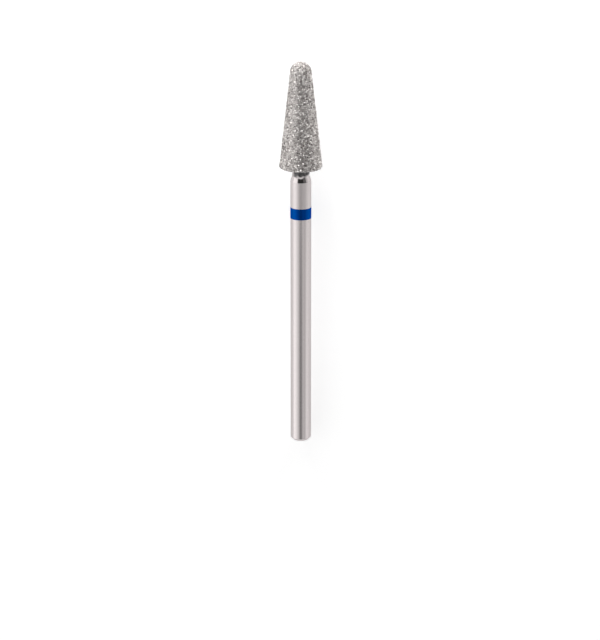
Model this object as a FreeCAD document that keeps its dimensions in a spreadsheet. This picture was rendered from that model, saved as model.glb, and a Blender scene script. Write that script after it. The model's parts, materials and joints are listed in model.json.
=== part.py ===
import FreeCAD
import Part
import Sketcher

import math
import os

# A diamond dental bur for a straight handpiece, in millimetres.
#
# One steel blank is turned from bar: a plain shank, a relieved neck and the core of the
# working head. A single layer of diamond grit is plated onto that core, and a coloured band
# that tells the grit size fills a shallow seat in the shank.
#
# Each piece is drawn about its own Z axis, with the shank's rear face at zero and the tip of
# the head at the overall length. It is then laid down: the bur can't stand on its thin end,
# so it rests on the rim of the head and on the rear edge of the shank, along +Y.

SIZES = {
    # From the rear face of the shank to the tip of the head
    "overall_length": 44.5,
    # Shank that the chuck of the handpiece grips, and the chamfer round its rear face
    "shank_diameter": 2.35,
    "end_chamfer": 0.3,
    # Head, over the grit, from its tip to its flat underside
    "head_diameter": 4.8,
    "head_length": 12.05,
    "tip_radius": 1.2,
    # Round at the rim of the steel core, under the grit
    "core_rim_radius": 0.03,
    # One layer of grit in its plated bond
    "coat_thickness": 0.12,
    # Neck: its depth below the shank's surface, its bare length and the fillet at its root
    "neck_relief": 0.2,
    "neck_length": 0.92,
    "neck_fillet": 0.12,
    # Crowned shoulder that runs out from the neck to the full shank
    "shoulder_length": 0.63,
    "shoulder_crown_radius": 1.9,
    # Coloured band: its distance below the shoulder, its width, its seat and how proud it is
    "band_setback": 3.03,
    "band_width": 1.27,
    "band_seat_depth": 0.035,
    "band_proud": 0.015,
}

# Radii about the bur's axis, as expressions on the sheet
SHANK_RADIUS = "sizes.shank_diameter / 2"
NECK_RADIUS = f"({SHANK_RADIUS} - sizes.neck_relief)"
COAT_BORE_RADIUS = f"({NECK_RADIUS} + sizes.neck_fillet)"
BAND_SEAT_RADIUS = f"({SHANK_RADIUS} - sizes.band_seat_depth)"
BAND_OUTER_RADIUS = f"({SHANK_RADIUS} + sizes.band_proud)"
RIM_CENTRE_RADIUS = "(sizes.head_diameter / 2 - sizes.coat_thickness - sizes.core_rim_radius)"

# Heights along the bur's axis, as expressions on the sheet
TIP_CENTRE = "(sizes.overall_length - sizes.tip_radius)"
COAT_UNDERSIDE = "(sizes.overall_length - sizes.head_length)"
CORE_UNDERSIDE = f"({COAT_UNDERSIDE} + sizes.coat_thickness)"
RIM_CENTRE = f"({CORE_UNDERSIDE} + sizes.core_rim_radius)"
SHOULDER_TOP = f"({COAT_UNDERSIDE} - sizes.neck_length)"
SHOULDER_EDGE = f"({SHOULDER_TOP} - sizes.shoulder_length)"
BAND_TOP = f"({SHOULDER_EDGE} - sizes.band_setback)"
BAND_BOTTOM = f"({BAND_TOP} - sizes.band_width)"

# How the bur lies: it touches down on the rear edge of the shank and on the rounded rim of the
# head, and their common tangent gives the angle between its axis and the surface
RIM_ROUND = "(sizes.core_rim_radius + sizes.coat_thickness)"
REST_RUN = f"({RIM_CENTRE} - sizes.end_chamfer)"
REST_CLIMB = f"({RIM_CENTRE_RADIUS} - {SHANK_RADIUS})"
REST_TILT = f"(atan2({REST_CLIMB}; {REST_RUN}) + asin({RIM_ROUND} / hypot({REST_RUN}; {REST_CLIMB})))"

# Where the rear face's centre then is, with the middle of the bur's box over the origin
REST_LIFT = f"({SHANK_RADIUS} * cos({REST_TILT}) - sizes.end_chamfer * sin({REST_TILT}))"
REST_REAR = f"(({SHANK_RADIUS} - sizes.end_chamfer) * sin({REST_TILT}))"
REST_FRONT = f"({TIP_CENTRE} * cos({REST_TILT}) + sizes.tip_radius)"

# How a sketch numbers its own two axes, counting down, the ends and centre of an edge, and its origin
LEVEL, AXIS = range(-1, -3, -1)
START, END, CENTRE = range(1, 4)
ROOT = (LEVEL, START)

# How close an edge has to lie to the place where it is looked for
EDGE_REACH = 1e-4


def make_sheet(doc):
    """The spreadsheet that holds every driving dimension."""
    sheet = doc.addObject("Spreadsheet::Sheet", "sizes")
    for row, (alias, value) in enumerate(SIZES.items(), start=1):
        sheet.set(f"A{row}", str(value))
        sheet.setAlias(f"A{row}", alias)
    doc.recompute()
    return sheet


def value_of(doc, expression):
    """The number that an expression on the sheet has now."""
    return float(doc.getObject("sizes").evalExpression(expression))


def new_body(doc, name):
    body = doc.addObject("PartDesign::Body", name)
    body.Label = name
    return body


def new_sketch(body, name, plane="XZ_Plane"):
    """A sketch on one of the body's own origin planes."""
    sketch = body.newObject("Sketcher::SketchObject", name)
    planes = [f for f in body.Origin.OriginFeatures if f.Role == plane]
    sketch.AttachmentSupport = (planes[0], [""])
    sketch.MapMode = "FlatFace"
    return sketch


def bind(sketch, kind, references, expression, name):
    """Adds a dimension and ties it to the sheet."""
    value = value_of(sketch.Document, expression)
    index = sketch.addConstraint(Sketcher.Constraint(kind, *references, value))
    sketch.renameConstraint(index, name)
    sketch.setExpression(f"Constraints.{name}", expression)


def bind_point(sketch, edge, end, radius, height, name):
    """Holds a point of the outline at a radius from the axis and a height above the rear face."""
    if radius == "0":
        sketch.addConstraint(Sketcher.Constraint("PointOnObject", edge, end, AXIS))
    else:
        bind(sketch, "DistanceX", (*ROOT, edge, end), radius, f"{name}_radius")
    bind(sketch, "DistanceY", (*ROOT, edge, end), height, f"{name}_height")


def join(sketch, edges):
    """Closes a chain of edges, each starting where the one before it ends."""
    for first, second in zip(edges, edges[1:] + edges[:1]):
        sketch.addConstraint(Sketcher.Constraint("Coincident", first, END, second, START))


def corner(doc, radius, height):
    """A point of a half section, from its two expressions."""
    return FreeCAD.Vector(value_of(doc, radius), value_of(doc, height), 0)


def draw_ring_section(body, name, inner, outer, bottom, top):
    """A rectangle beside the axis, or against it if its inner radius is 0."""
    doc = body.Document
    sketch = new_sketch(body, name)
    places = [(inner, bottom), (outer, bottom), (outer, top), (inner, top)]
    points = [corner(doc, radius, height) for radius, height in places]
    for start, end in zip(points, points[1:] + points[:1]):
        sketch.addGeometry(Part.LineSegment(start, end))
    floor, outside, ceiling, inside = range(4)
    join(sketch, [floor, outside, ceiling, inside])
    for edge in (outside, inside):
        sketch.addConstraint(Sketcher.Constraint("Vertical", edge))
    for edge in (floor, ceiling):
        sketch.addConstraint(Sketcher.Constraint("Horizontal", edge))
    bind_point(sketch, floor, START, inner, bottom, "low_inner")
    bind_point(sketch, ceiling, START, outer, top, "high_outer")
    return sketch


def draw_head_section(body, name, skin):
    """Half section of the head: flat underside, rounded rim, long taper and ball tip.

    The rim and the tip keep their centres, so a skin makes a true offset of the core.
    """
    doc = body.Document
    sketch = new_sketch(body, name)
    rim_radius = f"(sizes.core_rim_radius + {skin})"
    tip_radius = f"(sizes.tip_radius - sizes.coat_thickness + {skin})"
    underside = f"({CORE_UNDERSIDE} - {skin})"

    rim = corner(doc, RIM_CENTRE_RADIUS, RIM_CENTRE)
    tip = corner(doc, "0", TIP_CENTRE)
    rim_size = value_of(doc, rim_radius)
    tip_size = value_of(doc, tip_radius)
    # The taper touches both arcs, so it leans by the angle between their common tangent and the axis
    run = tip - rim
    lean = math.atan2(-run.x, run.y) - math.asin((tip_size - rim_size) / run.Length)
    out = FreeCAD.Vector(math.cos(lean), math.sin(lean), 0)
    half_turn = math.pi / 2

    foot = corner(doc, "0", underside)
    rim_low = rim - FreeCAD.Vector(0, rim_size, 0)
    apex = tip + FreeCAD.Vector(0, tip_size, 0)
    rim_circle = Part.Circle(rim, FreeCAD.Vector(0, 0, 1), rim_size)
    tip_circle = Part.Circle(tip, FreeCAD.Vector(0, 0, 1), tip_size)
    bottom, rim_arc, taper, tip_arc, middle = range(5)
    sketch.addGeometry(Part.LineSegment(foot, rim_low))
    sketch.addGeometry(Part.ArcOfCircle(rim_circle, -half_turn, lean))
    sketch.addGeometry(Part.LineSegment(rim + out * rim_size, tip + out * tip_size))
    sketch.addGeometry(Part.ArcOfCircle(tip_circle, lean, half_turn))
    sketch.addGeometry(Part.LineSegment(apex, foot))

    for first, second in ((bottom, rim_arc), (rim_arc, taper), (taper, tip_arc)):
        sketch.addConstraint(Sketcher.Constraint("Tangent", first, END, second, START))
    sketch.addConstraint(Sketcher.Constraint("Coincident", tip_arc, END, middle, START))
    sketch.addConstraint(Sketcher.Constraint("Coincident", middle, END, bottom, START))
    sketch.addConstraint(Sketcher.Constraint("PointOnObject", middle, START, AXIS))
    sketch.addConstraint(Sketcher.Constraint("PointOnObject", middle, END, AXIS))
    sketch.addConstraint(Sketcher.Constraint("Horizontal", bottom))
    bind_point(sketch, rim_arc, CENTRE, RIM_CENTRE_RADIUS, RIM_CENTRE, "rim_centre")
    bind_point(sketch, tip_arc, CENTRE, "0", TIP_CENTRE, "tip_centre")
    bind(sketch, "Radius", (rim_arc,), rim_radius, "rim_round")
    bind(sketch, "Radius", (tip_arc,), tip_radius, "tip_round")
    return sketch


def draw_neck_section(body, name):
    """Half section of the neck and of the crowned shoulder that runs out from it."""
    doc = body.Document
    sketch = new_sketch(body, name)
    foot = corner(doc, "0", SHOULDER_EDGE)
    shank_edge = corner(doc, SHANK_RADIUS, SHOULDER_EDGE)
    neck_foot = corner(doc, NECK_RADIUS, SHOULDER_TOP)
    neck_top = corner(doc, NECK_RADIUS, CORE_UNDERSIDE)
    top = corner(doc, "0", CORE_UNDERSIDE)

    # The crown's centre lies inside the shoulder, square to the middle of its chord
    crown = value_of(doc, "sizes.shoulder_crown_radius")
    chord = neck_foot - shank_edge
    inward = FreeCAD.Vector(-chord.y, chord.x, 0).normalize()
    depth = math.sqrt(crown * crown - chord.Length * chord.Length / 4)
    centre = (shank_edge + neck_foot) / 2 + inward * depth
    start = math.atan2(shank_edge.y - centre.y, shank_edge.x - centre.x)
    end = math.atan2(neck_foot.y - centre.y, neck_foot.x - centre.x)
    circle = Part.Circle(centre, FreeCAD.Vector(0, 0, 1), crown)

    bottom, shoulder, neck, lid, middle = range(5)
    sketch.addGeometry(Part.LineSegment(foot, shank_edge))
    sketch.addGeometry(Part.ArcOfCircle(circle, start, end))
    sketch.addGeometry(Part.LineSegment(neck_foot, neck_top))
    sketch.addGeometry(Part.LineSegment(neck_top, top))
    sketch.addGeometry(Part.LineSegment(top, foot))
    join(sketch, [bottom, shoulder, neck, lid, middle])
    for edge in (bottom, lid):
        sketch.addConstraint(Sketcher.Constraint("Horizontal", edge))
    for edge in (neck, middle):
        sketch.addConstraint(Sketcher.Constraint("Vertical", edge))
    bind_point(sketch, bottom, START, "0", SHOULDER_EDGE, "shoulder_foot")
    bind(sketch, "DistanceX", (bottom, START, bottom, END), SHANK_RADIUS, "shoulder_edge_radius")
    bind(sketch, "Radius", (shoulder,), "sizes.shoulder_crown_radius", "shoulder_crown")
    bind_point(sketch, neck, START, NECK_RADIUS, SHOULDER_TOP, "neck_foot")
    bind(sketch, "DistanceY", (*ROOT, lid, END), CORE_UNDERSIDE, "neck_top_height")
    return sketch


def revolve(body, sketch, name, kind="PartDesign::Revolution"):
    """Turns a half section about the bur's axis, as added or removed material."""
    feature = body.newObject(kind, name)
    feature.Profile = sketch
    feature.ReferenceAxis = (sketch, ["V_Axis"])
    feature.Angle = 360
    body.Document.recompute()
    return feature


def round_edge_at(feature, radius, height):
    """The name of the circular edge with this radius at this height."""
    for number, edge in enumerate(feature.Shape.Edges, start=1):
        curve = edge.Curve
        if not isinstance(curve, Part.Circle):
            continue
        if abs(curve.Radius - radius) + abs(curve.Center.z - height) < EDGE_REACH:
            return f"Edge{number}"
    raise ValueError(f"no round edge of radius {radius} at height {height}")


def dress_edge(body, feature, kind, name, radius, height, size, expression):
    """A chamfer or fillet on the round edge at that place."""
    doc = body.Document
    edge = round_edge_at(feature, value_of(doc, radius), value_of(doc, height))
    dressed = body.newObject(kind, name)
    dressed.Base = (feature, [edge])
    dressed.setExpression(size, expression)
    doc.recompute()
    return dressed


def make_blank(doc):
    """The turned steel piece: shank, shoulder, neck and head core."""
    body = new_body(doc, "steel_blank")
    bar = new_sketch(body, "shank_circle", "XY_Plane")
    radius = value_of(doc, SHANK_RADIUS)
    bar.addGeometry(Part.Circle(FreeCAD.Vector(), FreeCAD.Vector(0, 0, 1), radius))
    bar.addConstraint(Sketcher.Constraint("Coincident", 0, CENTRE, *ROOT))
    bind(bar, "Radius", (0,), SHANK_RADIUS, "shank_round")
    shank = body.newObject("PartDesign::Pad", "shank")
    shank.Profile = bar
    shank.setExpression("Length", SHOULDER_EDGE)
    doc.recompute()

    end = dress_edge(
        body, shank, "PartDesign::Chamfer", "rear_chamfer",
        SHANK_RADIUS, "0", "Size", "sizes.end_chamfer",
    )
    before_seat = end.Shape.Volume
    seat = draw_ring_section(
        body, "band_seat_section", BAND_SEAT_RADIUS, BAND_OUTER_RADIUS, BAND_BOTTOM, BAND_TOP
    )
    groove = revolve(body, seat, "band_seat", "PartDesign::Groove")
    if groove.Shape.Volume >= before_seat:
        raise ValueError("the band's seat removed nothing from the shank")

    revolve(body, draw_neck_section(body, "neck_section"), "neck")
    core = revolve(body, draw_head_section(body, "core_section", "0"), "head_core")
    dress_edge(
        body, core, "PartDesign::Fillet", "neck_root",
        NECK_RADIUS, CORE_UNDERSIDE, "Radius", "sizes.neck_fillet",
    )
    return body


def make_coat(doc):
    """The plated grit: a skin of even thickness over the core, open round the neck."""
    body = new_body(doc, "diamond_coat")
    skin = "sizes.coat_thickness"
    solid = revolve(body, draw_head_section(body, "grit_section", skin), "grit_form")
    whole = solid.Shape.Volume
    core = draw_head_section(body, "core_section", "0")
    hollow = revolve(body, core, "core_hollow", "PartDesign::Groove")
    if hollow.Shape.Volume >= whole:
        raise ValueError("the core removed nothing from the coat")
    passage = draw_ring_section(
        body, "neck_passage_section", "0", COAT_BORE_RADIUS, COAT_UNDERSIDE, CORE_UNDERSIDE
    )
    revolve(body, passage, "neck_passage", "PartDesign::Groove")
    return body


def make_band(doc):
    """The coloured band, a thin ring that fills its seat in the shank."""
    body = new_body(doc, "colour_band")
    section = draw_ring_section(
        body, "band_section", BAND_SEAT_RADIUS, BAND_OUTER_RADIUS, BAND_BOTTOM, BAND_TOP
    )
    revolve(body, section, "band")
    return body


def lay_down(body):
    """Lays a piece along +Y on the plane z = 0, as the whole bur comes to rest."""
    body.Placement = FreeCAD.Placement(FreeCAD.Vector(), FreeCAD.Rotation(FreeCAD.Vector(-1, 0, 0), 90))
    body.setExpression("Placement.Rotation.Angle", f"90 deg - {REST_TILT}")
    body.setExpression("Placement.Base.y", f"({REST_REAR} - {REST_FRONT}) / 2")
    body.setExpression("Placement.Base.z", REST_LIFT)


def check_document(doc, bodies):
    """Stops before anything is written if a feature failed or a piece isn't one sound solid."""
    for item in doc.Objects:
        if {"Invalid", "Error"} & set(item.State):
            raise ValueError(f"{item.Name} failed: {item.State}")
    for body in bodies:
        shape = body.Shape
        if shape.isNull() or not shape.isValid() or len(shape.Solids) != 1:
            raise ValueError(f"{body.Label} isn't one sound solid")


def main():
    doc = FreeCAD.newDocument("dental_bur")
    make_sheet(doc)
    bodies = [make_blank(doc), make_coat(doc), make_band(doc)]
    for body in bodies:
        lay_down(body)
    doc.recompute()
    check_document(doc, bodies)
    os.makedirs("parts", exist_ok=True)
    for body in bodies:
        body.Shape.exportStep(os.path.join("parts", f"{body.Label}.step"))
        print(f"{body.Label}: {body.Shape.Volume:.3f} cubic millimetres")


main()
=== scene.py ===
import json
import math
import random

import bmesh
import bpy
from mathutils import Matrix, Vector, noise

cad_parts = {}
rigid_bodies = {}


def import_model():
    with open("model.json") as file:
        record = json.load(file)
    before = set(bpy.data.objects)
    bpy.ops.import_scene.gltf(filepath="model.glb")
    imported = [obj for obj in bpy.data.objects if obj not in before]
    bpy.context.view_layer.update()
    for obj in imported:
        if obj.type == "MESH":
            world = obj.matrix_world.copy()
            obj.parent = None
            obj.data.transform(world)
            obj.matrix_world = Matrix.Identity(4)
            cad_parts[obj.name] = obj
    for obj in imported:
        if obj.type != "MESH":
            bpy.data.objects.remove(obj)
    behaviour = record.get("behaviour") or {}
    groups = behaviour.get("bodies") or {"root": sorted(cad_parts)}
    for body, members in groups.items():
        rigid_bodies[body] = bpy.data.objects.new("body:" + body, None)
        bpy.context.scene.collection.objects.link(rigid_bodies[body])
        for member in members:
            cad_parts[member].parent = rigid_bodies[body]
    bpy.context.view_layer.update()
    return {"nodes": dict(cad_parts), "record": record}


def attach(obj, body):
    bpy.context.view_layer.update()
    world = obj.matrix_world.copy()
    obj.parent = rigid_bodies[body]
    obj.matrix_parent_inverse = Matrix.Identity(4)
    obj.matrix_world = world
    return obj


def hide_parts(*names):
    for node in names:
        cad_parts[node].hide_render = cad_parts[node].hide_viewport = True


# A diamond dental bur that lies on a white surface and is seen from above, with its tip up in the
# picture. The steel blank and the blue band keep their solids. The smooth solid of the diamond coat
# is replaced by its nickel bond and its grains.

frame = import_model()

MM = 0.001

# Heights and radii that are closer together than the first are equal, and a radius under the
# second is none
CLOSE = 0.01 * MM
ON_THE_AXIS = 0.001 * MM

# The stretch of the shank, from its rear face, that its radius is taken from
REAR_STRETCH = 5 * MM

# Head of the bur, as its solids have it
TIP_RADIUS = 1.2 * MM
COAT = 0.12 * MM
CORE_RIM_RADIUS = 0.03 * MM

# Steps along the head's coarsest outline, in each of its stretches
UNDERSIDE_STEPS = 4
RIM_STEPS = 3
TAPER_STEPS = 24
TIP_STEPS = 6

# Plated nickel, over the core: its thickness, the gap between its inner wall and the core, the
# faces round it, and how many times finer than the coarsest outline its two walls are
BOND_THICKNESS = 0.075 * MM
BOND_WALL_GAP = 0.004 * MM
BOND_SEGMENTS = 216
BOND_OUTSIDE_FINENESS = 4
BOND_INSIDE_FINENESS = 2

# The bond's lumps: how far they rise, how wide they are, how smooth, how much finer each layer of
# them is than the one before, and how many layers there are
LUMP_HEIGHT = 0.016 * MM
LUMP_WIDTH = 0.13 * MM
LUMP_SMOOTHNESS = 0.6
LUMP_REFINEMENT = 2.1
LUMP_LAYERS = 3

# Diamond grains: size across, least width and thickness as parts of it, the distance from one to
# the next, how high their crowns are above the bond, and how far they tilt
GRAIN_SMALLEST = 0.174 * MM
GRAIN_LARGEST = 0.26 * MM
GRAIN_NARROWEST = 0.8
GRAIN_THICKNESS = 0.6
GRAIN_SPACING = 0.174 * MM
GRAIN_LOWEST_CROWN = 0.05 * MM
GRAIN_HIGHEST_CROWN = 0.103 * MM
GRAIN_TILT = math.radians(35)

# Places tried on each square metre of the head, so many that the spacing alone decides
PLACES_TRIED = 1e9

# Chips that make each grain a little unlike the next
CHIP_DEPTH = 0.035 * MM
CHIP_WIDTH = 0.12 * MM

# The crystals that the grains are copies of: how many, the corners of each, how blunt they are,
# and how near to the middle a corner may lie, as a part of the farthest
CRYSTAL_FORMS = 18
CRYSTAL_CORNERS = 11
CRYSTAL_BLUNTNESS = 0.35
CRYSTAL_NEAREST_CORNER = 0.86

# The seed of the crystals' forms and of the grains' places
GRAIN_SEED = 11

# The surface that the grains are scattered over
CARRIER_SEGMENTS = 108
CARRIER_FINENESS = 2

# The camera's place: its distance from the bur's axis, its distance ahead of the shank's rear
# face, the tilt of its view, its focal length and how far the bur lies to the right of it
CAMERA_DISTANCE = 281.2 * MM
CAMERA_AHEAD = 108.53 * MM
CAMERA_TILT = math.radians(18.5)
CAMERA_FOCAL_PIXELS = 2600
CAMERA_SIDE_PIXELS = 0.85
CAMERA_NEAREST = 10 * MM
PICTURE_WIDTH_PIXELS = 600
SENSOR_WIDTH_MM = 36.0


def find_axis():
    """A point of the bur's axis, the way to its tip, and the way up, square to both."""
    shank = next(m for m in frame["record"]["mounts"] if m["name"] == "shank")
    forward = -Vector(shank["axis"]).normalized()
    side = Vector((1, 0, 0))
    return Vector(shank["pos_m"]), forward, side.cross(forward)


ON_AXIS, FORWARD, UPWARD = find_axis()
SIDEWAYS = FORWARD.cross(UPWARD)


def along(point):
    """How far a point lies towards the tip, from the chosen point of the axis."""
    return (point - ON_AXIS).dot(FORWARD)


def from_axis(point):
    """How far a point lies from the axis."""
    return (point - ON_AXIS - FORWARD * along(point)).length


def on_bur(radius, height, turn):
    """The place at a radius, a height along the axis and a turn about it."""
    out = SIDEWAYS * math.cos(turn) + UPWARD * math.sin(turn)
    return ON_AXIS + FORWARD * height + out * radius


def points_of(node):
    """The corners of a solid's surface."""
    return [v.co.copy() for v in frame["nodes"][node].data.vertices]


BLANK_POINTS = points_of("steel_blank")
COAT_POINTS = points_of("diamond_coat")
BAND_POINTS = points_of("colour_band")

TIP = max(along(p) for p in COAT_POINTS)
UNDERSIDE = min(along(p) for p in COAT_POINTS)
HEAD_RADIUS = max(from_axis(p) for p in COAT_POINTS)
COAT_BORE_RADIUS = min(from_axis(p) for p in COAT_POINTS if along(p) < UNDERSIDE + CLOSE)
REAR = min(along(p) for p in BLANK_POINTS)
SHANK_RADIUS = max(from_axis(p) for p in BLANK_POINTS if along(p) < REAR + REAR_STRETCH)
SHOULDER_EDGE = max(
    along(p) for p in BLANK_POINTS
    if along(p) < UNDERSIDE and from_axis(p) > SHANK_RADIUS - CLOSE
)
BAND_MIDDLE = sum(along(p) for p in BAND_POINTS) / len(BAND_POINTS)

# The steel core inside the head: the middle of its domed tip, and the middle of its rounded rim
DOME_MIDDLE = TIP - TIP_RADIUS
RIM_MIDDLE_RADIUS = HEAD_RADIUS - COAT - CORE_RIM_RADIUS
RIM_MIDDLE_HEIGHT = UNDERSIDE + COAT + CORE_RIM_RADIUS


# Meshes

def arc(centre, radius, start, end, steps):
    """Points of an arc in a half section, from one angle to another."""
    turns = [start + (end - start) * i / steps for i in range(steps + 1)]
    return [(centre[0] + radius * math.cos(t), centre[1] + radius * math.sin(t)) for t in turns]


def straight(start, end, steps):
    """Points of a straight run, without its two ends."""
    parts = [i / steps for i in range(1, steps)]
    return [(start[0] + (end[0] - start[0]) * k, start[1] + (end[1] - start[1]) * k) for k in parts]


def head_outline(skin, fineness):
    """Half section of the core's surface raised by a skin, from the neck to the tip.

    It has as many times the steps of the coarsest outline as fineness says.
    """
    rim_round = CORE_RIM_RADIUS + skin
    rim = (RIM_MIDDLE_RADIUS, RIM_MIDDLE_HEIGHT)
    tip = (0.0, DOME_MIDDLE)
    tip_round = TIP_RADIUS - COAT + skin
    run = math.hypot(tip[0] - rim[0], tip[1] - rim[1])
    lean = math.atan2(rim[0], tip[1] - rim[1]) - math.asin((tip_round - rim_round) / run)
    rim_arc = arc(rim, rim_round, -math.pi / 2, lean, RIM_STEPS * fineness)
    tip_arc = arc(tip, tip_round, lean, math.pi / 2, TIP_STEPS * fineness)
    start = (COAT_BORE_RADIUS, rim[1] - rim_round)
    underside = [start] + straight(start, rim_arc[0], UNDERSIDE_STEPS * fineness)
    taper = straight(rim_arc[-1], tip_arc[0], TAPER_STEPS * fineness)
    return underside + rim_arc + taper + tip_arc


def turn_outline(name, outline, segments, closed=False):
    """Turns a half section about the bur's axis. Points on the axis become one vertex each."""
    mesh = bmesh.new()
    rings = []
    for radius, height in outline:
        on_pole = radius < ON_THE_AXIS
        count = 1 if on_pole else segments
        turns = [2 * math.pi * i / segments for i in range(count)]
        rings.append([mesh.verts.new(on_bur(0.0 if on_pole else radius, height, t)) for t in turns])
    pairs = list(zip(rings, rings[1:]))
    if closed:
        pairs.append((rings[-1], rings[0]))
    for low, high in pairs:
        for i in range(segments):
            j = (i + 1) % segments
            corners = [low[i % len(low)], low[j % len(low)], high[j % len(high)], high[i % len(high)]]
            corners = list(dict.fromkeys(corners))
            if len(corners) > 2:
                mesh.faces.new(corners)
    if closed:
        bmesh.ops.recalc_face_normals(mesh, faces=mesh.faces)
    data = bpy.data.meshes.new(name)
    mesh.to_mesh(data)
    mesh.free()
    piece = bpy.data.objects.new(name, data)
    bpy.context.scene.collection.objects.link(piece)
    return piece


def make_bond(material):
    """The nickel that holds the grains: a thin lumpy skin over the core, open round the neck."""
    outside = head_outline(BOND_THICKNESS, BOND_OUTSIDE_FINENESS)
    inside = head_outline(BOND_WALL_GAP, BOND_INSIDE_FINENESS)
    bond = turn_outline("nickel_bond", outside + inside[::-1], BOND_SEGMENTS, closed=True)
    for vertex in bond.data.vertices:
        place = vertex.co
        lump = noise.fractal(place / LUMP_WIDTH, LUMP_SMOOTHNESS, LUMP_REFINEMENT, LUMP_LAYERS)
        if distance_above_core(place) > BOND_THICKNESS / 2:
            vertex.co = place + outward(place) * lump * LUMP_HEIGHT
    for face in bond.data.polygons:
        face.use_smooth = True
    bond.data.materials.append(material)
    return bond


def outward(place):
    """The way out of the head's surface at a place on it. On the taper, straight from the axis."""
    height = along(place)
    spoke = place - ON_AXIS - FORWARD * height
    if height > DOME_MIDDLE:
        return (place - ON_AXIS - FORWARD * DOME_MIDDLE).normalized()
    if height < UNDERSIDE + COAT and spoke.length < RIM_MIDDLE_RADIUS:
        return -FORWARD
    return spoke.normalized()


def distance_above_core(place):
    """Roughly how far a place near the head's surface lies above the steel core."""
    height, radius = along(place), from_axis(place)
    if height > DOME_MIDDLE:
        return (place - ON_AXIS - FORWARD * DOME_MIDDLE).length - (TIP_RADIUS - COAT)
    if height < RIM_MIDDLE_HEIGHT:
        if radius < RIM_MIDDLE_RADIUS:
            return UNDERSIDE + COAT - height
        return math.hypot(radius - RIM_MIDDLE_RADIUS, height - RIM_MIDDLE_HEIGHT) - CORE_RIM_RADIUS
    part = (height - RIM_MIDDLE_HEIGHT) / (DOME_MIDDLE - RIM_MIDDLE_HEIGHT)
    return radius - (HEAD_RADIUS - COAT + (TIP_RADIUS - HEAD_RADIUS) * part)


# Node trees

GRID_STEP = 200


def add_node(tree, kind, at, **settings):
    """A node with its settings, at a place given in steps of the grid."""
    node = tree.nodes.new(kind)
    node.location = (at[0] * GRID_STEP, -at[1] * GRID_STEP)
    for name, value in settings.items():
        setattr(node, name, value)
    return node


def feed(tree, node, **inputs):
    """Sets or links a node's inputs, named by identifier. A socket is linked, a value is set."""
    sockets = {s.identifier.replace(" ", "_"): s for s in node.inputs}
    for name, value in inputs.items():
        socket = sockets[name]
        if isinstance(value, bpy.types.NodeSocket):
            tree.links.new(value, socket)
        else:
            socket.default_value = value


def out_of(node, identifier):
    """The output of a node that has this identifier."""
    return next(s for s in node.outputs if s.identifier == identifier)


def add_inputs(tree, inputs):
    """Named inputs of a node group, each with its kind and its value if it has one."""
    for name, kind, value in inputs:
        socket = tree.interface.new_socket(name, in_out="INPUT", socket_type=kind)
        if value is not None:
            socket.default_value = value


def calculate(tree, operation, first, second, at):
    """One operation on two values, or on one where the second is None."""
    node = add_node(tree, "ShaderNodeMath", at, operation=operation)
    feed(tree, node, Value=first)
    if second is not None:
        feed(tree, node, Value_001=second)
    return node.outputs[0]


# Diamond grit

GRIT_INPUTS = (
    ("Spacing", "NodeSocketFloat", GRAIN_SPACING),
    ("Smallest Grain", "NodeSocketFloat", GRAIN_SMALLEST),
    ("Largest Grain", "NodeSocketFloat", GRAIN_LARGEST),
    ("Narrowest", "NodeSocketFloat", GRAIN_NARROWEST),
    ("Thickness", "NodeSocketFloat", GRAIN_THICKNESS),
    ("Tilt", "NodeSocketFloat", GRAIN_TILT),
    ("Lowest Crown", "NodeSocketFloat", GRAIN_LOWEST_CROWN),
    ("Highest Crown", "NodeSocketFloat", GRAIN_HIGHEST_CROWN),
    ("Chip Depth", "NodeSocketFloat", CHIP_DEPTH),
    ("Chip Width", "NodeSocketFloat", CHIP_WIDTH),
    ("Seed", "NodeSocketInt", GRAIN_SEED),
    ("Crystal Forms", "NodeSocketCollection", None),
    ("Material", "NodeSocketMaterial", None),
)

# What is drawn at random for each grain or facet, and the seed of each draw
DRAWS = {"size": 1, "crown": 2, "lean_x": 3, "lean_y": 4, "grain": 5, "facet": 6, "spin": 7, "width": 8}


def draw_between(tree, low, high, draw, at):
    """A random number for each grain or facet."""
    node = add_node(tree, "FunctionNodeRandomValue", at, data_type="FLOAT")
    feed(tree, node, Min_001=low, Max_001=high, Seed=DRAWS[draw])
    return out_of(node, "Value_001")


def grit_tree():
    """Scatters grains over the surface that it is given, each seated in the bond."""
    tree = bpy.data.node_groups.new("grit_scatter", "GeometryNodeTree")
    tree.interface.new_socket("Geometry", in_out="INPUT", socket_type="NodeSocketGeometry")
    add_inputs(tree, GRIT_INPUTS)
    tree.interface.new_socket("Geometry", in_out="OUTPUT", socket_type="NodeSocketGeometry")
    given = add_node(tree, "NodeGroupInput", (0, 0))
    result = add_node(tree, "NodeGroupOutput", (14, 0))
    value = {s.name: s for s in given.outputs}

    spread = add_node(tree, "GeometryNodeDistributePointsOnFaces", (1, 0), distribute_method="POISSON")
    feed(tree, spread, Mesh=value["Geometry"], Distance_Min=value["Spacing"], Seed=value["Seed"])
    feed(tree, spread, Density_Max=PLACES_TRIED, Density_Factor=1.0)

    size = draw_between(tree, value["Smallest Grain"], value["Largest Grain"], "size", (1, 2))
    thick = calculate(tree, "MULTIPLY", size, value["Thickness"], (2, 3))
    seats = seat_in_bond(tree, value, spread, thick)
    placed = lay_grains(tree, value, spread, seats, size, thick)

    toned = store_tone(tree, placed, "grain", "INSTANCE", (7, 0))
    real = add_node(tree, "GeometryNodeRealizeInstances", (8, 0))
    feed(tree, real, Geometry=toned)
    chipped = chip_grains(tree, value, real.outputs[0])
    faceted = store_tone(tree, chipped, "facet", "FACE", (11, 0))
    painted = add_node(tree, "GeometryNodeSetMaterial", (13, 0))
    feed(tree, painted, Geometry=faceted, Material=value["Material"])
    tree.links.new(painted.outputs[0], result.inputs[0])
    return tree


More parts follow.
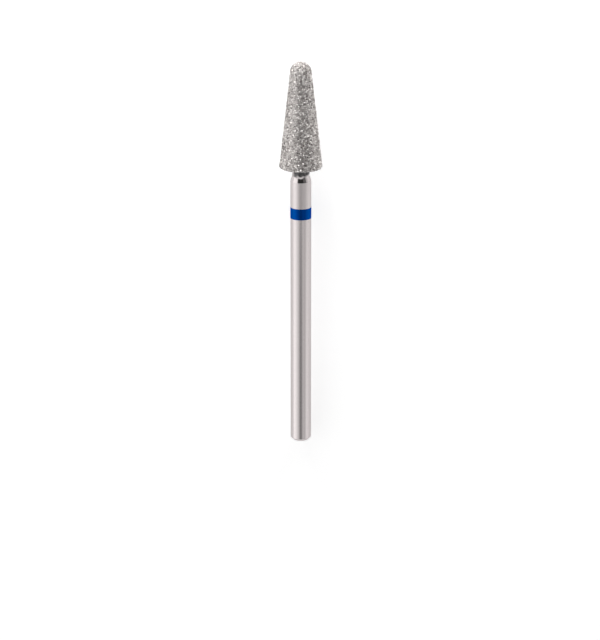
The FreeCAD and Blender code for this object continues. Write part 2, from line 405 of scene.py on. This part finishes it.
def seat_in_bond(tree, value, spread, thick):
    """Moves the scattered points so that each grain's crown is as high as is drawn for it."""
    crown = draw_between(tree, value["Lowest Crown"], value["Highest Crown"], "crown", (1, 3))
    half = calculate(tree, "MULTIPLY", thick, 0.5, (2, 2))
    lift = calculate(tree, "SUBTRACT", crown, half, (3, 2))
    push = add_node(tree, "ShaderNodeVectorMath", (3, 1), operation="SCALE")
    feed(tree, push, Vector=spread.outputs["Normal"], Scale=lift)
    seated = add_node(tree, "GeometryNodeSetPosition", (4, 0))
    feed(tree, seated, Geometry=spread.outputs["Points"], Offset=push.outputs[0])
    return seated.outputs[0]


def lay_grains(tree, value, spread, seats, size, thick):
    """Lays a crystal flat on each seat, turned at random and a little tilted."""
    forms = add_node(tree, "GeometryNodeCollectionInfo", (4, 2))
    feed(tree, forms, Collection=value["Crystal Forms"], Separate_Children=True, Reset_Children=True)
    least = calculate(tree, "MULTIPLY", value["Tilt"], -1.0, (3, 4))
    lean = add_node(tree, "ShaderNodeCombineXYZ", (5, 4))
    feed(tree, lean, X=draw_between(tree, least, value["Tilt"], "lean_x", (4, 4)))
    feed(tree, lean, Y=draw_between(tree, least, value["Tilt"], "lean_y", (4, 5)))
    feed(tree, lean, Z=draw_between(tree, 0.0, math.tau, "spin", (4, 6)))
    turned = add_node(tree, "FunctionNodeRotateRotation", (6, 4), rotation_space="LOCAL")
    feed(tree, turned, Rotation=spread.outputs["Rotation"], Rotate_By=lean.outputs[0])
    narrowing = draw_between(tree, value["Narrowest"], 1.0, "width", (4, 7))
    width = calculate(tree, "MULTIPLY", size, narrowing, (5, 7))
    extent = add_node(tree, "ShaderNodeCombineXYZ", (5, 6))
    feed(tree, extent, X=size, Y=width, Z=thick)
    placed = add_node(tree, "GeometryNodeInstanceOnPoints", (6, 0))
    feed(tree, placed, Points=seats, Instance=forms.outputs[0], Pick_Instance=True)
    feed(tree, placed, Rotation=turned.outputs[0], Scale=extent.outputs[0])
    return placed.outputs[0]


def store_tone(tree, geometry, draw, domain, at):
    """Keeps a random tone for each grain or facet, which the material reads."""
    toned = add_node(tree, "GeometryNodeStoreNamedAttribute", at, data_type="FLOAT", domain=domain)
    tone = draw_between(tree, 0.0, 1.0, draw, (at[0] - 1, at[1] + 3))
    feed(tree, toned, Geometry=geometry, Name=f"{draw}_tone", Value=tone)
    return toned.outputs[0]


def chip_grains(tree, value, grains):
    """Moves the grains' corners a little, each its own way, so that no two look the same."""
    place = add_node(tree, "GeometryNodeInputPosition", (8, 2))
    width = add_node(tree, "ShaderNodeCombineXYZ", (8, 3))
    feed(tree, width, X=value["Chip Width"], Y=value["Chip Width"], Z=value["Chip Width"])
    scaled = add_node(tree, "ShaderNodeVectorMath", (9, 2), operation="DIVIDE")
    feed(tree, scaled, Vector=place.outputs[0], Vector_001=width.outputs[0])
    uneven = add_node(tree, "ShaderNodeTexNoise", (10, 2))
    feed(tree, uneven, Vector=scaled.outputs[0], Scale=1.0, Detail=1.0)
    centred = add_node(tree, "ShaderNodeVectorMath", (11, 2), operation="SUBTRACT")
    feed(tree, centred, Vector=uneven.outputs["Color"], Vector_001=(0.5, 0.5, 0.5))
    chip = add_node(tree, "ShaderNodeVectorMath", (12, 2), operation="SCALE")
    feed(tree, chip, Vector=centred.outputs[0], Scale=value["Chip Depth"])
    chipped = add_node(tree, "GeometryNodeSetPosition", (10, 0))
    feed(tree, chipped, Geometry=grains, Offset=chip.outputs[0])
    return chipped.outputs[0]


def crystal_forms():
    """Blunt, irregular crystals a unit across, in a collection of their own."""
    forms = bpy.data.collections.new("crystal_forms")
    draw = random.Random(GRAIN_SEED)
    for number in range(CRYSTAL_FORMS):
        mesh = bmesh.new()
        for _ in range(CRYSTAL_CORNERS):
            way = Vector([draw.gauss(0, 1) for _ in range(3)]).normalized()
            blunt = max(abs(c) for c in way) ** CRYSTAL_BLUNTNESS
            mesh.verts.new(way * 0.5 / blunt * draw.uniform(CRYSTAL_NEAREST_CORNER, 1.0))
        hull = bmesh.ops.convex_hull(mesh, input=mesh.verts)
        spare = [v for v in hull["geom_interior"] if isinstance(v, bmesh.types.BMVert)]
        bmesh.ops.delete(mesh, geom=spare, context="VERTS")
        bmesh.ops.recalc_face_normals(mesh, faces=mesh.faces)
        data = bpy.data.meshes.new(f"crystal_form_{number}")
        mesh.to_mesh(data)
        mesh.free()
        forms.objects.link(bpy.data.objects.new(f"crystal_form_{number}", data))
    return forms


def make_grit(material):
    """The diamond grains over the whole head, as one piece."""
    outline = head_outline(BOND_THICKNESS, CARRIER_FINENESS)
    grit = turn_outline("diamond_grit", outline, CARRIER_SEGMENTS)
    face_outward(grit.data)
    tree = grit_tree()
    forms = crystal_forms()
    scatter = grit.modifiers.new("scatter", "NODES")
    scatter.node_group = tree
    sockets = {s.name: s.identifier for s in tree.interface.items_tree if s.in_out == "INPUT"}
    scatter[sockets["Crystal Forms"]] = forms
    scatter[sockets["Material"]] = material
    view = bpy.context.evaluated_depsgraph_get()
    grains = bpy.data.meshes.new_from_object(grit.evaluated_get(view), depsgraph=view)
    grit.modifiers.remove(scatter)
    grit.data = grains
    for form in list(forms.objects):
        bpy.data.objects.remove(form)
    bpy.data.collections.remove(forms)
    return grit


def face_outward(data):
    """Turns a surface's faces so that they point away from the bur's axis."""
    mesh = bmesh.new()
    mesh.from_mesh(data)
    bmesh.ops.recalc_face_normals(mesh, faces=mesh.faces)
    widest = max(mesh.faces, key=lambda f: from_axis(f.calc_center_median()))
    spoke = widest.calc_center_median() - ON_AXIS
    if widest.normal.dot(spoke - FORWARD * spoke.dot(FORWARD)) < 0:
        bmesh.ops.reverse_faces(mesh, faces=mesh.faces)
    mesh.to_mesh(data)
    mesh.free()


# Materials

# The range that most of a noise lies in, and how a noise is drawn out across the bur and not along
# it, to make lines round the bur
NOISE_RANGE = (0.3, 0.7)
LINE_STRETCH = (0.03, 1.0, 0.03)


def new_material(name):
    """A material with its node tree and its shader."""
    material = bpy.data.materials.new(name)
    material.use_nodes = True
    tree = material.node_tree
    shader = tree.nodes["Principled BSDF"]
    shader.location = (7 * GRID_STEP, 0)
    return material, tree, shader


def bur_coordinates(tree):
    """Object coordinates turned so that Y runs along the bur's axis, in millimetres."""
    coordinates = add_node(tree, "ShaderNodeTexCoord", (0, 0))
    turned = add_node(tree, "ShaderNodeMapping", (1, 0), vector_type="TEXTURE")
    rise = math.atan2(FORWARD.z, FORWARD.y)
    feed(tree, turned, Vector=coordinates.outputs["Object"], Location=ON_AXIS, Rotation=(rise, 0, 0))
    feed(tree, turned, Scale=(MM, MM, MM))
    return turned.outputs[0]


def speckle_group():
    """Soft blotches, and fine lines round the bur, each as a value that varies from 0 to 1."""
    tree = bpy.data.node_groups.new("surface_speckle", "ShaderNodeTree")
    add_inputs(tree, (
        ("Vector", "NodeSocketVector", None),
        ("Blotch Size", "NodeSocketFloat", 0.5),
        ("Line Pitch", "NodeSocketFloat", 0.02),
    ))
    tree.interface.new_socket("Blotches", in_out="OUTPUT", socket_type="NodeSocketFloat")
    tree.interface.new_socket("Lines", in_out="OUTPUT", socket_type="NodeSocketFloat")
    given = add_node(tree, "NodeGroupInput", (0, 0))
    result = add_node(tree, "NodeGroupOutput", (5, 0))
    blotch_scale = calculate(tree, "DIVIDE", 1.0, given.outputs["Blotch Size"], (1, 1))
    blotches = add_node(tree, "ShaderNodeTexNoise", (2, 0))
    feed(tree, blotches, Vector=given.outputs["Vector"], Scale=blotch_scale, Detail=4.0)
    line_scale = calculate(tree, "DIVIDE", 1.0, given.outputs["Line Pitch"], (1, 2))
    stretched = add_node(tree, "ShaderNodeVectorMath", (2, 2), operation="MULTIPLY")
    feed(tree, stretched, Vector=given.outputs["Vector"], Vector_001=LINE_STRETCH)
    lines = add_node(tree, "ShaderNodeTexNoise", (3, 2))
    feed(tree, lines, Vector=stretched.outputs[0], Scale=line_scale, Detail=3.0)
    tree.links.new(blotches.outputs[0], result.inputs["Blotches"])
    tree.links.new(lines.outputs[0], result.inputs["Lines"])
    return tree


SPECKLE = speckle_group()


def speckle(tree, vector, blotch_size, line_pitch, at):
    """The blotches and lines at a material's own sizes, in millimetres."""
    node = add_node(tree, "ShaderNodeGroup", at, node_tree=SPECKLE)
    tree.links.new(vector, node.inputs["Vector"])
    node.inputs["Blotch Size"].default_value = blotch_size
    node.inputs["Line Pitch"].default_value = line_pitch
    return node


def remap(tree, source, given, wanted, at, smooth=False):
    """Stretches one range of values to another, and holds the ends beyond it."""
    node = add_node(tree, "ShaderNodeMapRange", at)
    if smooth:
        node.interpolation_type = "SMOOTHSTEP"
    feed(tree, node, Value=source, From_Min=given[0], From_Max=given[1])
    feed(tree, node, To_Min=wanted[0], To_Max=wanted[1])
    return node.outputs[0]


def blend_colours(tree, factor, first, second, at):
    """A colour between two others."""
    node = add_node(tree, "ShaderNodeMix", at, data_type="RGBA")
    feed(tree, node, Factor_Float=factor, A_Color=first, B_Color=second)
    return out_of(node, "Result_Color")


def shaded(tree, marks, shades, at):
    """A colour that runs between two shades with a surface's blotches."""
    tint = remap(tree, marks.outputs["Blotches"], NOISE_RANGE, (0.0, 1.0), at)
    return blend_colours(tree, tint, shades[0], shades[1], (at[0] + 1, at[1]))


def bump(tree, height, depth, strength, at):
    """A normal that leans with a height."""
    node = add_node(tree, "ShaderNodeBump", at)
    feed(tree, node, Height=height, Strength=strength, Distance=depth)
    return node.outputs[0]


# Steel: its shades bare and under the neck's film and painted shade, and what it mirrors at a glance
BARE_SHADES = ((0.78, 0.72, 0.717, 1), (0.80, 0.739, 0.736, 1))
# The neck's dark colour is partly plating film and partly painted shade under the head
FILM_AND_SHADE_COLOURS = ((0.07, 0.068, 0.07, 1), (0.26, 0.25, 0.25, 1))
STEEL_GLANCE = (0.88, 0.87, 0.87, 1)

# Its roughness behind and ahead of the middle of the blue band, what the ground lines add to it,
# how much of it the polish takes off, what is left at least, and the film's own
SHANK_ROUGHNESS = 0.17
COLLAR_ROUGHNESS = 0.31
LINE_ROUGHNESS = 0.015
POLISH = 0.245
LEAST_ROUGHNESS = 0.06
FILM_ROUGHNESS = 0.5

# Millimetres ahead of the shoulder's edge, over which the polish begins, and the film and painted shade
POLISH_BEGINS = (0.0, 0.02)
FILM_AND_SHADE_BEGIN = (0.5, 0.7)

# Millimetres behind and ahead of the band's middle, over which the roughness changes
ROUGHNESS_CHANGES = (-0.1, 0.1)

# The edge of the film and painted shade wanders and slants from the bur's left to its right, and the
# mark is painted thinner at the bur's left, where more light falls: painted light. Each pair is in
# millimetres, but for the share of the mark that is left there.
FILM_PATCHES_PER_MM = 1.9
FILM_WANDERS = (-0.22, 0.22)
FILM_SLANT_ACROSS = (-0.35, 0.35)
FILM_SLANT = (-0.03, 0.22)
FILM_LIT_SIDE_ACROSS = (-0.95, -0.65)
FILM_LEFT_ON_LIT_SIDE = (0.25, 1.0)


def span_from(height, span):
    """A span of heights, in millimetres, from a height on the axis."""
    return (height / MM + span[0], height / MM + span[1])


def neck_film_and_shade(tree, place, height, aside):
    """How far plating film and painted shade cover the steel, from 0 on the shoulder to 1 on the neck."""
    patches = add_node(tree, "ShaderNodeTexNoise", (2, 4))
    feed(tree, patches, Vector=place, Scale=FILM_PATCHES_PER_MM, Detail=3.0)
    wander = remap(tree, patches.outputs[0], NOISE_RANGE, FILM_WANDERS, (3, 4))
    slant = remap(tree, aside, FILM_SLANT_ACROSS, FILM_SLANT, (3, 5), smooth=True)
    even = calculate(tree, "SUBTRACT", height, slant, (3, 3))
    crept = calculate(tree, "ADD", even, wander, (4, 3))
    film = remap(tree, crept, span_from(SHOULDER_EDGE, FILM_AND_SHADE_BEGIN), (0.0, 1.0), (5, 3))
    # Painted light: the mark is thinned at the bur's left, where more light falls
    lit_side_thinning = remap(tree, aside, FILM_LIT_SIDE_ACROSS, FILM_LEFT_ON_LIT_SIDE, (4, 6), smooth=True)
    return calculate(tree, "MULTIPLY", film, lit_side_thinning, (6, 4))


def ground_steel():
    """Stainless steel, ground on the shank and polished ahead of it, with a film and painted shade on the
    neck.
    """
    material, tree, shader = new_material("ground_steel")
    place = bur_coordinates(tree)
    marks = speckle(tree, place, blotch_size=0.3, line_pitch=0.03, at=(2, 1))
    apart = add_node(tree, "ShaderNodeSeparateXYZ", (2, 3))
    tree.links.new(place, apart.inputs[0])
    height = apart.outputs["Y"]
    # The neck's dark mark, partly plating film and partly painted shade under the head
    film = neck_film_and_shade(tree, place, height, apart.outputs["X"])

    bare = shaded(tree, marks, BARE_SHADES, (3, 0))
    filmed_and_shaded = shaded(tree, marks, FILM_AND_SHADE_COLOURS, (4, 1))
    colour = blend_colours(tree, film, bare, filmed_and_shaded, (6, 0))

    polish = remap(tree, height, span_from(SHOULDER_EDGE, POLISH_BEGINS), (0.0, 1.0), (3, 2))
    lines = remap(tree, marks.outputs["Lines"], NOISE_RANGE, (0.0, LINE_ROUGHNESS), (4, 1))
    change = span_from(BAND_MIDDLE, ROUGHNESS_CHANGES)
    ground = remap(tree, height, change, (SHANK_ROUGHNESS, COLLAR_ROUGHNESS), (4, 7))
    rough = calculate(tree, "ADD", lines, ground, (5, 7))
    rough = calculate(tree, "SUBTRACT", rough, calculate(tree, "MULTIPLY", polish, POLISH, (5, 2)), (6, 2))
    rough = calculate(tree, "MAXIMUM", rough, LEAST_ROUGHNESS, (7, 2))
    matt = calculate(tree, "MULTIPLY", film, FILM_ROUGHNESS, (7, 3))
    rough = calculate(tree, "MAXIMUM", rough, matt, (8, 1))

    unpolished = calculate(tree, "SUBTRACT", 1.0, polish, (6, 5))
    grooves = calculate(tree, "MULTIPLY", marks.outputs["Lines"], unpolished, (7, 5))
    feed(tree, shader, Base_Color=colour, Metallic=1.0, Roughness=rough, Specular_Tint=STEEL_GLANCE)
    feed(tree, shader, Normal=bump(tree, grooves, depth=0.004 * MM, strength=0.02, at=(8, 4)))
    return material


# Blue lacquer: its shades face on, its painted sheen, a lighter colour where it turns away from the eye,
# what it mirrors at a glance, and how far it has to turn for the painted sheen to begin and to be full
LACQUER_SHADES = ((0.0, 0.044, 0.265, 1), (0.0, 0.055, 0.31, 1))
LACQUER_PAINTED_SHEEN = (0.0, 0.12, 0.48, 1)
LACQUER_GLANCE = (0.02, 0.3, 0.7, 1)
LACQUER_TURNS_AWAY = (0.1, 0.7)


def blue_lacquer():
    """Clear blue lacquer over bright metal, with a painted sheen: lighter where it turns away from the
    eye.
    """
    material, tree, shader = new_material("blue_lacquer")
    place = bur_coordinates(tree)
    marks = speckle(tree, place, blotch_size=0.35, line_pitch=0.05, at=(2, 1))
    facing = shaded(tree, marks, LACQUER_SHADES, (3, 0))
    # Painted sheen: the colour is painted lighter where the band turns away from the eye
    view = add_node(tree, "ShaderNodeLayerWeight", (4, 1))
    feed(tree, view, Blend=0.5)
    edge = remap(tree, out_of(view, "Facing"), LACQUER_TURNS_AWAY, (0.0, 1.0), (5, 1))
    colour = blend_colours(tree, edge, facing, LACQUER_PAINTED_SHEEN, (6, 0))
    feed(tree, shader, Base_Color=colour, Metallic=1.0, Roughness=0.17, Specular_Tint=LACQUER_GLANCE)
    uneven = bump(tree, marks.outputs["Blotches"], depth=0.004 * MM, strength=0.15, at=(4, 3))
    feed(tree, shader, Normal=uneven)
    return material


# Nickel, from its duller blotches to its brighter ones
NICKEL_SHADES = ((0.38, 0.35, 0.33, 1), (0.74, 0.70, 0.68, 1))


def nickel_bond():
    """Satin electroplated nickel, with fine nodules."""
    material, tree, shader = new_material("nickel_bond")
    place = bur_coordinates(tree)
    marks = speckle(tree, place, blotch_size=0.08, line_pitch=0.05, at=(2, 1))
    colour = shaded(tree, marks, NICKEL_SHADES, (3, 0))
    feed(tree, shader, Base_Color=colour, Metallic=1.0, Roughness=0.42)
    nodules = bump(tree, marks.outputs["Blotches"], depth=0.03 * MM, strength=0.8, at=(4, 3))
    feed(tree, shader, Normal=nodules)
    return material


# Diamond: its smokiest and its palest shade, partly the crystal's own colour and partly painted light
# seen inside the clear grains, how much of a facet's tone is its own and not its grain's (a painted
# reflection inside the crystal), the tones between which the shades run, and the roughness from facet
# to facet
CRYSTAL_AND_INNER_LIGHT_SHADES = ((0.11, 0.096, 0.09, 1), (0.99, 0.95, 0.925, 1))
FACET_REFLECTION_SHARE = 0.3
CRYSTAL_TONES = (0.25, 0.85)
FACET_ROUGHNESS = (0.1, 0.35)
DIAMOND_IOR = 2.42


def diamond_grain():
    """Smoky to pale crystal that glints, with grains of different tone and facet tones as painted
    reflections.
    """
    material, tree, shader = new_material("diamond_grain")
    grain = add_node(tree, "ShaderNodeAttribute", (0, 0), attribute_name="grain_tone")
    facet = add_node(tree, "ShaderNodeAttribute", (0, 1), attribute_name="facet_tone")
    tone = add_node(tree, "ShaderNodeMix", (1, 0), data_type="FLOAT")
    # Painted reflection: each facet's own tone stands in for light seen inside the clear crystal
    feed(tree, tone, Factor_Float=FACET_REFLECTION_SHARE, A_Float=grain.outputs["Fac"], B_Float=facet.outputs["Fac"])
    shade = remap(tree, out_of(tone, "Result_Float"), CRYSTAL_TONES, (0.0, 1.0), (2, 0))
    colour = blend_colours(tree, shade, CRYSTAL_AND_INNER_LIGHT_SHADES[0], CRYSTAL_AND_INNER_LIGHT_SHADES[1], (3, 0))
    rough = remap(tree, facet.outputs["Fac"], (0.0, 1.0), FACET_ROUGHNESS, (2, 2))
    feed(tree, shader, Base_Color=colour, Metallic=0.3, Roughness=rough, IOR=DIAMOND_IOR)
    return material


# Studio

# The floor: half its side, its height just under the lowest grains, its grey, its glow to the
# camera, and how much of the glow shows in metal
FLOOR_HALF = 2.0
FLOOR_HEIGHT = -0.07 * MM
FLOOR_GREY = 0.64
FLOOR_GLOW = 0.6
FLOOR_GLOW_IN_METAL = 0.5


def grey(level):
    """A grey of this brightness."""
    return (level, level, level, 1)


def white_surface():
    """A white floor that stays white to the eye and pale in the metal, and keeps a soft shadow."""
    material, tree, shader = new_material("white_surface")
    out = tree.nodes["Material Output"]
    feed(tree, shader, Base_Color=grey(FLOOR_GREY), Roughness=0.9)
    path = add_node(tree, "ShaderNodeLightPath", (0, 3))
    mirrored = calculate(tree, "MULTIPLY", path.outputs["Is Glossy Ray"], FLOOR_GLOW_IN_METAL, (1, 4))
    seen = calculate(tree, "MAXIMUM", path.outputs["Is Camera Ray"], mirrored, (1, 3))
    glow = add_node(tree, "ShaderNodeEmission", (6, 3))
    feed(tree, glow, Color=grey(1), Strength=calculate(tree, "MULTIPLY", seen, FLOOR_GLOW, (2, 3)))
    both = add_node(tree, "ShaderNodeAddShader", (8, 1))
    tree.links.new(shader.outputs[0], both.inputs[0])
    tree.links.new(glow.outputs[0], both.inputs[1])
    tree.links.new(both.outputs[0], out.inputs["Surface"])
    return material


def make_floor():
    """The plain floor, which is no part of the bur."""
    data = bpy.data.meshes.new("floor")
    sides = ((-1, -1), (1, -1), (1, 1), (-1, 1))
    corners = [(x * FLOOR_HALF, y * FLOOR_HALF, FLOOR_HEIGHT) for x, y in sides]
    data.from_pydata(corners, [], [(0, 1, 2, 3)])
    data.materials.append(white_surface())
    floor = bpy.data.objects.new("floor", data)
    bpy.context.scene.collection.objects.link(floor)


# The point that the lamps face
LAMPS_AIM = Vector((0, 0.01, 0))


def soft_box(name, place, width, height, brightness):
    """A lamp of even brightness, where 1 looks white in a mirror."""
    lamp = bpy.data.lights.new(name, "AREA")
    lamp.shape = "RECTANGLE"
    lamp.size = width
    lamp.size_y = height
    lamp.energy = brightness * math.pi * width * height
    holder = bpy.data.objects.new(name, lamp)
    aimed = (LAMPS_AIM - place).to_track_quat("-Z", "Y").to_matrix().to_4x4()
    holder.matrix_world = Matrix.Translation(place) @ aimed
    bpy.context.scene.collection.objects.link(holder)
    return holder


def light_studio():
    """A dim lamp at the left, one beyond the tip, and a bright low one that nothing mirrors."""
    soft_box("left_box", Vector((-0.45, 0.05, 0.2)), width=0.3, height=0.5, brightness=0.2)
    soft_box("head_box", Vector((-0.05, 0.5, 0.28)), width=0.3, height=0.2, brightness=1.0)
    tip_box = soft_box("tip_box", Vector((0, 0.5, 0.03)), width=0.6, height=0.05, brightness=135.0)
    tip_box.visible_glossy = False
    light_world()


# The studio's brightness round the bur's axis, by the angle from straight up, positive to the
# right. Behind is where the shank mirrors it, square where the shoulder does, and ahead where only
# the head does.
BEHIND_LEVELS = (
    (-180, 1.04), (-120, 1.15), (-90, 1.2), (-60, 1.08), (-45, 0.88), (-30, 0.68), (-18, 0.45),
    (-8, 0.22), (2, 0.12), (12, 0.32), (24, 0.56), (36, 0.54), (48, 0.52), (60, 0.76), (75, 0.9),
    (90, 0.74), (110, 0.62), (180, 0.7),
)
SQUARE_LEVELS = (
    (-180, 0.95), (-90, 1.0), (-60, 0.93), (-40, 0.77), (-20, 0.72), (0, 0.8), (25, 0.62),
    (50, 0.45), (75, 0.5), (90, 0.76), (180, 0.9),
)
AHEAD_LEVELS = (
    (-180, 0.9), (-90, 1.0), (-50, 0.7), (-20, 0.15), (0, 0.0), (25, 0.0), (50, 0.12), (90, 0.85),
    (180, 0.9),
)

# Farther ahead are an even wall, and a small bright panel at the axis itself
END_WALL_LEVEL = 1.15
END_PANEL_LEVEL = 22.0

# The angles from square to the bur towards its tip, over which each of these takes over
SQUARE_FROM = (-16.3, -14.0)
AHEAD_FROM = (33, 46)
END_WALL_FROM = (58, 74)
END_PANEL_FROM = (78, 86)

# A dark gap overhead and a dimmer strip to its right: how much light each takes, and its low and
# high limits round the axis and towards the tip, with the angles that these two limits fade over
GAP_TAKES = 0.96
GAP_ROUND = ((-36, 29), (16, 4))
GAP_AHEAD = ((-6, 28), (5, 4))
STRIP_TAKES = 0.74
STRIP_ROUND = ((29, 61), (4, 8))
STRIP_AHEAD = ((-6, 30), (5, 4))


def light_world():
    """Walls that change round the bur and towards its tip, with a gap and a strip that are darker."""
    world = bpy.data.worlds.new("studio")
    bpy.context.scene.world = world
    world.use_nodes = True
    tree = world.node_tree
    background = tree.nodes["Background"]
    way = add_node(tree, "ShaderNodeTexCoord", (0, 0)).outputs["Generated"]
    side = share_along(tree, way, SIDEWAYS, (1, 0))
    ahead = share_along(tree, way, FORWARD, (1, 1))
    up = share_along(tree, way, UPWARD, (1, 2))
    turn = in_degrees(tree, calculate(tree, "ARCTAN2", side, up, (3, 0)), (4, 0))
    rise = in_degrees(tree, calculate(tree, "ARCSINE", ahead, None, (3, 1)), (4, 1))

    behind_wall = levels_round(tree, turn, BEHIND_LEVELS, (5, 0))
    square_wall = levels_round(tree, turn, SQUARE_LEVELS, (5, -2))
    ahead_wall = levels_round(tree, turn, AHEAD_LEVELS, (5, -4))
    wall = take_over(tree, rise, SQUARE_FROM, behind_wall, square_wall, (7, -1))
    wall = take_over(tree, rise, AHEAD_FROM, wall, ahead_wall, (8, -3))
    wall = take_over(tree, rise, END_WALL_FROM, wall, grey(END_WALL_LEVEL), (9, -5))
    wall = take_over(tree, rise, END_PANEL_FROM, wall, grey(END_PANEL_LEVEL), (10, -6))

    gap = inside(tree, turn, rise, GAP_ROUND, GAP_AHEAD, (6, 2))
    strip = inside(tree, turn, rise, STRIP_ROUND, STRIP_AHEAD, (6, 5))
    gap_shade = calculate(tree, "MULTIPLY", gap, GAP_TAKES, (9, 2))
    strip_shade = calculate(tree, "MULTIPLY", strip, STRIP_TAKES, (9, 5))
    shade = calculate(tree, "ADD", gap_shade, strip_shade, (10, 3))
    feed(tree, background, Color=wall, Strength=calculate(tree, "SUBTRACT", 1.0, shade, (11, 2)))


def share_along(tree, way, axis, at):
    """How much of a direction runs along an axis."""
    node = add_node(tree, "ShaderNodeVectorMath", at, operation="DOT_PRODUCT")
    feed(tree, node, Vector=way, Vector_001=axis)
    return node.outputs["Value"]


def in_degrees(tree, radians, at):
    """An angle in degrees."""
    return calculate(tree, "DEGREES", radians, None, at)


def levels_round(tree, turn, levels, at):
    """The brightness listed for each angle round the axis."""
    ramp = add_node(tree, "ShaderNodeValToRGB", (at[0] + 1, at[1]))
    feed(tree, ramp, Fac=remap(tree, turn, (-180, 180), (0.0, 1.0), at))
    stops = ramp.color_ramp.elements
    stops.remove(stops[1])
    stops[0].position = 0.0
    stops[0].color = grey(levels[0][1])
    for angle, level in levels[1:]:
        stop = stops.new((angle + 180) / 360)
        stop.color = grey(level)
    return ramp.outputs[0]


def take_over(tree, angle, span, first, second, at):
    """One brightness up to a span of angles, and another after it."""
    share = remap(tree, angle, span, (0.0, 1.0), at, smooth=True)
    return blend_colours(tree, share, first, second, (at[0] + 1, at[1]))


def inside(tree, turn, rise, limits_round, limits_ahead, at):
    """1 inside a patch of the studio and 0 outside it."""
    within_round = within(tree, turn, limits_round, at)
    within_ahead = within(tree, rise, limits_ahead, (at[0], at[1] + 1))
    return calculate(tree, "MULTIPLY", within_round, within_ahead, (at[0] + 2, at[1]))


def within(tree, angle, limits, at):
    """1 between two angles and 0 outside them, with soft ends."""
    (low, high), (low_fade, high_fade) = limits
    low_end = (low - low_fade / 2, low + low_fade / 2)
    high_end = (high - high_fade / 2, high + high_fade / 2)
    rising = remap(tree, angle, low_end, (0.0, 1.0), at, smooth=True)
    falling = remap(tree, angle, high_end, (1.0, 0.0), (at[0], at[1] + 0.5), smooth=True)
    return calculate(tree, "MULTIPLY", rising, falling, (at[0] + 1, at[1]))


def place_camera():
    """The photograph's view, turned with the bur: from above it, and from ahead of its tip."""
    data = bpy.data.cameras.new("camera")
    data.sensor_fit = "HORIZONTAL"
    data.sensor_width = SENSOR_WIDTH_MM
    data.lens = CAMERA_FOCAL_PIXELS / PICTURE_WIDTH_PIXELS * SENSOR_WIDTH_MM
    data.clip_start = CAMERA_NEAREST
    camera = bpy.data.objects.new("camera", data)
    bpy.context.scene.collection.objects.link(camera)
    aside = CAMERA_SIDE_PIXELS / CAMERA_FOCAL_PIXELS * CAMERA_DISTANCE
    place = ON_AXIS + FORWARD * (REAR + CAMERA_AHEAD) + UPWARD * CAMERA_DISTANCE - SIDEWAYS * aside
    look = -UPWARD * math.cos(CAMERA_TILT) - FORWARD * math.sin(CAMERA_TILT)
    top = FORWARD * math.cos(CAMERA_TILT) - UPWARD * math.sin(CAMERA_TILT)
    axes = Matrix((look.cross(top), top, -look)).transposed().to_4x4()
    camera.matrix_world = Matrix.Translation(place) @ axes
    bpy.context.scene.camera = camera


def main():
    """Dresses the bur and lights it."""
    for node, material in (("steel_blank", ground_steel()), ("colour_band", blue_lacquer())):
        frame["nodes"][node].material_slots[0].material = material
    for piece in (make_bond(nickel_bond()), make_grit(diamond_grain())):
        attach(piece, "root")
        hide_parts("diamond_coat")
    make_floor()
    light_studio()
    place_camera()
    scene = bpy.context.scene
    scene.view_settings.view_transform = "Standard"


main()
